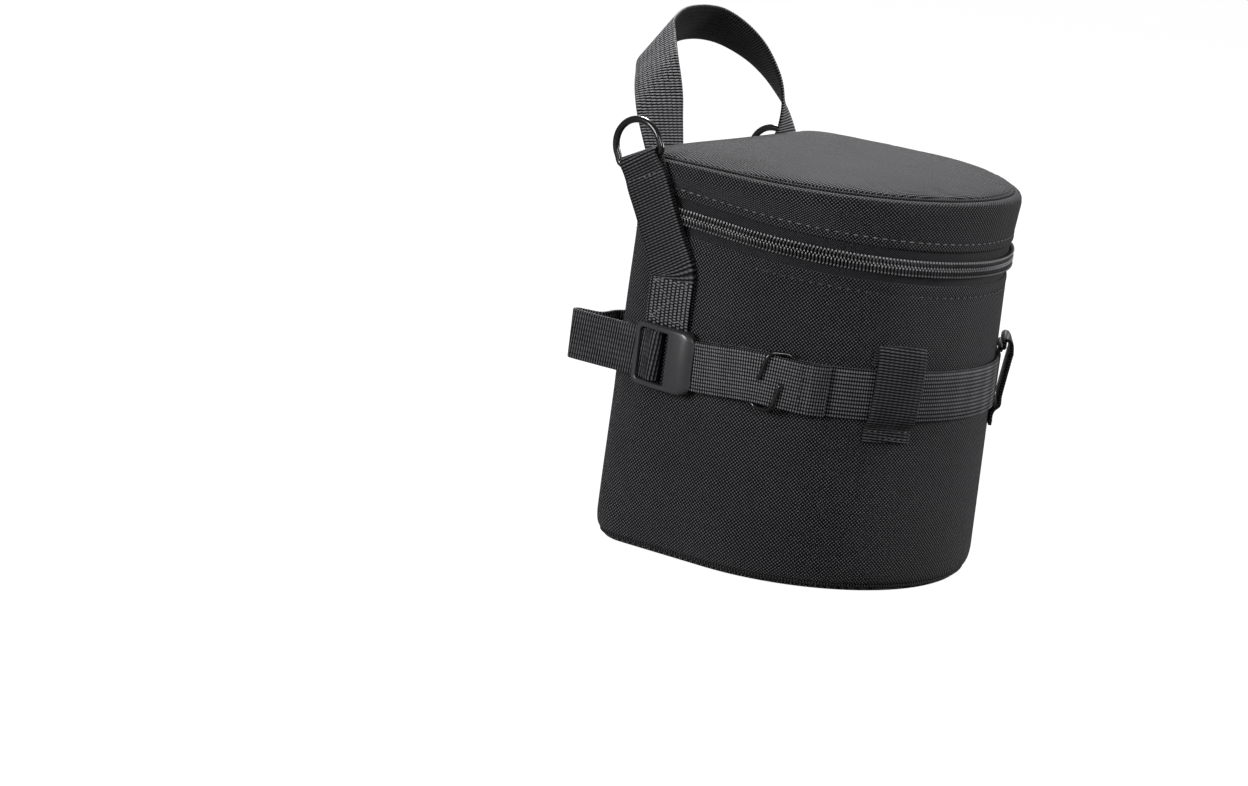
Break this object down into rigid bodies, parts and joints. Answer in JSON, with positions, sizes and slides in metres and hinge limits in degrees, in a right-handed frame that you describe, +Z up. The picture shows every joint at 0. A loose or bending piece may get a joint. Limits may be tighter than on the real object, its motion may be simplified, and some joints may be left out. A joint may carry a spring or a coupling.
{
  "type": "lens pouch",
  "caption": "Padded pouch with a D-shaped plan, a zipped hinged lid, a carry handle, D-rings on tabs, a buckled front strap and upright loops on the front.",
  "frame": {"origin": "On the flat underside, at the centre of the round front's circle in plan.", "axes": "+Z up along the wall, -Y towards the round front, +Y out of the flat back, and the buckle on the -X side."},
  "size_m": [0.1575, 0.1651, 0.2086],
  "materials": {
    "shell_cloth": "coarse black plain weave, matte",
    "piping_cloth": "black cord covered with the shell cloth",
    "webbing": "charcoal ribbed polyester webbing",
    "zip_tape": "fine black herringbone tape",
    "zip_coil": "dark nylon coil, satin",
    "lining": "soft grey knit",
    "foam": "closed-cell foam, matte",
    "buckle_plastic": "dark grey acetal, satin",
    "black_metal": "glossy black coated steel"
  },
  "bodies": {
    "case": {"body_wrap": "shell_cloth", "back_panel": "shell_cloth", "bottom_piping": "piping_cloth", "bottom_panel": "shell_cloth", "wall_padding": "foam", "bottom_padding": "foam", "body_lining": "lining", "mouth_binding": "zip_tape", "lower_zip_tape": "zip_tape", "lower_zip_coil": "zip_coil", "hinge_strip": "zip_tape", "handle_anchor_left": "webbing", "handle_anchor_right": "webbing", "d_ring_tab_left": "webbing", "d_ring_tab_right": "webbing", "front_strap": "webbing", "buckle": "buckle_plastic", "side_loop": "webbing", "attachment_loop_left": "webbing", "attachment_loop_right": "webbing"},
    "lid": {"lid_top_panel": "shell_cloth", "lid_piping": "piping_cloth", "lid_skirt": "shell_cloth", "lid_binding": "zip_tape", "lid_wall_padding": "foam", "lid_top_padding": "foam", "lid_lining": "lining", "upper_zip_tape": "zip_tape", "upper_zip_coil": "zip_coil", "lid_hinge_strip": "zip_tape"},
    "handle": {"carry_handle": "webbing"},
    "zip_slider_body": {"zip_slider": "black_metal"},
    "zip_pull_body": {"zip_pull": "black_metal"},
    "left_ring": {"d_ring_left": "black_metal"},
    "right_ring": {"d_ring_right": "black_metal"},
    "keeper": {"wire_keeper": "black_metal"}
  },
  "joints": [
    {"name": "lid_hinge", "type": "hinge", "parent": "case", "child": "lid", "pos_m": [0, 0.0599, 0.13759], "axis": [-1, 0, 0], "range_deg": [0, 95]},
    {"name": "handle_fold", "type": "hinge", "parent": "lid", "child": "handle", "pos_m": [0, 0.0599, 0.13759], "axis": [-1, 0, 0], "range_deg": [0, 45]},
    {"name": "zip_travel", "type": "hinge", "parent": "case", "child": "zip_slider_body", "pos_m": [0, 0, 0.134], "axis": [0, -0.0599, 0.9982], "range_deg": [-178, 0]},
    {"name": "zip_pull_swing", "type": "hinge", "parent": "zip_slider_body", "child": "zip_pull_body", "pos_m": [0.0761, 0, 0.134], "axis": [0, -0.9982, -0.0599], "range_deg": [-8, 120]},
    {"name": "left_ring_swing", "type": "hinge", "parent": "case", "child": "left_ring", "pos_m": [-0.07358, 0.04915, 0.1552], "axis": [-0.0409, -0.8981, 0.438], "range_deg": [-3, 135]},
    {"name": "right_ring_swing", "type": "hinge", "parent": "case", "child": "right_ring", "pos_m": [0.0712, 0.07113, 0.14128], "axis": [-0.0146, 0.6016, -0.7986], "range_deg": [-3, 135]},
    {"name": "keeper_slide", "type": "hinge", "parent": "case", "child": "keeper", "pos_m": [0, 0, 0.08], "axis": [0, 0, 1], "range_deg": [-11, 5]}
  ]
}
